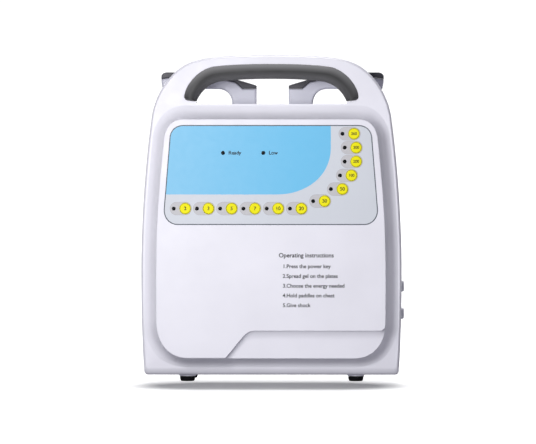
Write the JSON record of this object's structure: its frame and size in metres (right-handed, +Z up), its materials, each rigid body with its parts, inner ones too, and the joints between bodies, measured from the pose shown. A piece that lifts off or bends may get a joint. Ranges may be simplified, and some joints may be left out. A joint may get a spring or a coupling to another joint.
{
  "type": "portable defibrillator",
  "caption": "Upright portable defibrillator with an arched carrying handle, front energy keys, and external paddles standing in wells behind the handle.",
  "frame": {"origin": "on the floor, under the middle of the unit standing on its feet", "axes": "+Z up, -Y out of the keypad front, +X to the right seen from the front"},
  "size_m": [0.3163, 0.1916, 0.393],
  "materials": {
    "case": "fine-grained moulded plastic, off-white",
    "grip": "dark grey soft rubber",
    "overlay": "printed keypad film, light grey",
    "blue_film": "printed keypad film, light blue",
    "light_guide": "dark smoked plastic lamp windows",
    "key": "yellow moulded plastic",
    "paddle": "light grey moulded plastic",
    "paddle_cap": "dark grey moulded plastic",
    "button": "orange moulded plastic",
    "electrode": "brushed stainless steel",
    "rubber": "black rubber",
    "socket": "mid grey moulded plastic",
    "black_plastic": "black moulded plastic",
    "zinc_steel": "zinc-plated steel",
    "board": "green circuit board",
    "battery": "dark wrapped battery pack",
    "capacitor": "blue film capacitor case",
    "transformer": "varnished laminations and wrapped winding",
    "lead": "high-voltage lead, orange insulation"
  },
  "bodies": {
    "unit": {"front_shell": "case", "rear_shell": "case", "handle_grip": "grip", "keypad_overlay": "overlay", "blue_window": "blue_film", "led_light_guide": "light_guide", "keypad_board": "board", "test_contact_left": "electrode", "test_contact_right": "electrode", "paddle_socket_upper": "socket", "paddle_socket_lower": "socket", "foot_front_left": "rubber", "foot_front_right": "rubber", "foot_rear_left": "rubber", "foot_rear_right": "rubber", "housing_screw_1": "zinc_steel", "housing_screw_2": "zinc_steel", "housing_screw_3": "zinc_steel", "housing_screw_4": "zinc_steel", "battery_door": "case", "mains_inlet": "black_plastic", "power_switch_body": "black_plastic", "ground_stud": "zinc_steel", "chassis_plate": "zinc_steel", "main_board": "board", "power_supply_board": "board", "hv_capacitor": "capacitor", "capacitor_clamp": "zinc_steel", "hv_transformer": "transformer", "patient_relay": "black_plastic", "speaker": "black_plastic", "battery_pack": "battery", "paddle_lead_upper": "lead", "paddle_lead_lower": "lead"},
    "key_2": {"key_2": "key"},
    "key_3": {"key_3": "key"},
    "key_5": {"key_5": "key"},
    "key_7": {"key_7": "key"},
    "key_10": {"key_10": "key"},
    "key_20": {"key_20": "key"},
    "key_30": {"key_30": "key"},
    "key_50": {"key_50": "key"},
    "key_100": {"key_100": "key"},
    "key_200": {"key_200": "key"},
    "key_300": {"key_300": "key"},
    "key_360": {"key_360": "key"},
    "paddle_left": {"paddle_left_handle": "paddle", "paddle_left_cap": "paddle_cap", "paddle_left_base": "paddle", "paddle_left_electrode": "electrode", "paddle_left_gland": "paddle_cap"},
    "paddle_right": {"paddle_right_handle": "paddle", "paddle_right_cap": "paddle_cap", "paddle_right_base": "paddle", "paddle_right_electrode": "electrode", "paddle_right_gland": "paddle_cap"},
    "paddle_left_button": {"paddle_left_button": "button"},
    "paddle_right_button": {"paddle_right_button": "button"},
    "power_switch_rocker": {"power_switch_rocker": "black_plastic"}
  },
  "joints": [
    {"name": "key_2_press", "type": "slide", "parent": "unit", "child": "key_2", "axis": [0, 1, 0], "range_m": [0, 0.0008], "stiffness_N_per_m": 1200, "springref_m": -0.0008},
    {"name": "key_3_press", "type": "slide", "parent": "unit", "child": "key_3", "axis": [0, 1, 0], "range_m": [0, 0.0008], "stiffness_N_per_m": 1200, "springref_m": -0.0008},
    {"name": "key_5_press", "type": "slide", "parent": "unit", "child": "key_5", "axis": [0, 1, 0], "range_m": [0, 0.0008], "stiffness_N_per_m": 1200, "springref_m": -0.0008},
    {"name": "key_7_press", "type": "slide", "parent": "unit", "child": "key_7", "axis": [0, 1, 0], "range_m": [0, 0.0008], "stiffness_N_per_m": 1200, "springref_m": -0.0008},
    {"name": "key_10_press", "type": "slide", "parent": "unit", "child": "key_10", "axis": [0, 1, 0], "range_m": [0, 0.0008], "stiffness_N_per_m": 1200, "springref_m": -0.0008},
    {"name": "key_20_press", "type": "slide", "parent": "unit", "child": "key_20", "axis": [0, 1, 0], "range_m": [0, 0.0008], "stiffness_N_per_m": 1200, "springref_m": -0.0008},
    {"name": "key_30_press", "type": "slide", "parent": "unit", "child": "key_30", "axis": [0, 1, 0], "range_m": [0, 0.0008], "stiffness_N_per_m": 1200, "springref_m": -0.0008},
    {"name": "key_50_press", "type": "slide", "parent": "unit", "child": "key_50", "axis": [0, 1, 0], "range_m": [0, 0.0008], "stiffness_N_per_m": 1200, "springref_m": -0.0008},
    {"name": "key_100_press", "type": "slide", "parent": "unit", "child": "key_100", "axis": [0, 1, 0], "range_m": [0, 0.0008], "stiffness_N_per_m": 1200, "springref_m": -0.0008},
    {"name": "key_200_press", "type": "slide", "parent": "unit", "child": "key_200", "axis": [0, 1, 0], "range_m": [0, 0.0008], "stiffness_N_per_m": 1200, "springref_m": -0.0008},
    {"name": "key_300_press", "type": "slide", "parent": "unit", "child": "key_300", "axis": [0, 1, 0], "range_m": [0, 0.0008], "stiffness_N_per_m": 1200, "springref_m": -0.0008},
    {"name": "key_360_press", "type": "slide", "parent": "unit", "child": "key_360", "axis": [0, 1, 0], "range_m": [0, 0.0008], "stiffness_N_per_m": 1200, "springref_m": -0.0008},
    {"name": "paddle_left_lift", "type": "slide", "parent": "unit", "child": "paddle_left", "axis": [0, 0, 1], "range_m": [0, 0.1]},
    {"name": "paddle_left_button_press", "type": "slide", "parent": "paddle_left", "child": "paddle_left_button", "axis": [0, 0, -1], "range_m": [0, 0.0025], "stiffness_N_per_m": 1200, "springref_m": -0.001},
    {"name": "paddle_right_lift", "type": "slide", "parent": "unit", "child": "paddle_right", "axis": [0, 0, 1], "range_m": [0, 0.1]},
    {"name": "paddle_right_button_press", "type": "slide", "parent": "paddle_right", "child": "paddle_right_button", "axis": [0, 0, -1], "range_m": [0, 0.0025], "stiffness_N_per_m": 1200, "springref_m": -0.001},
    {"name": "power_switch_rock", "type": "hinge", "parent": "unit", "child": "power_switch_rocker", "pos_m": [0.095, 0.0903, 0.093], "axis": [1, 0, 0], "range_deg": [-16, 0]}
  ]
}
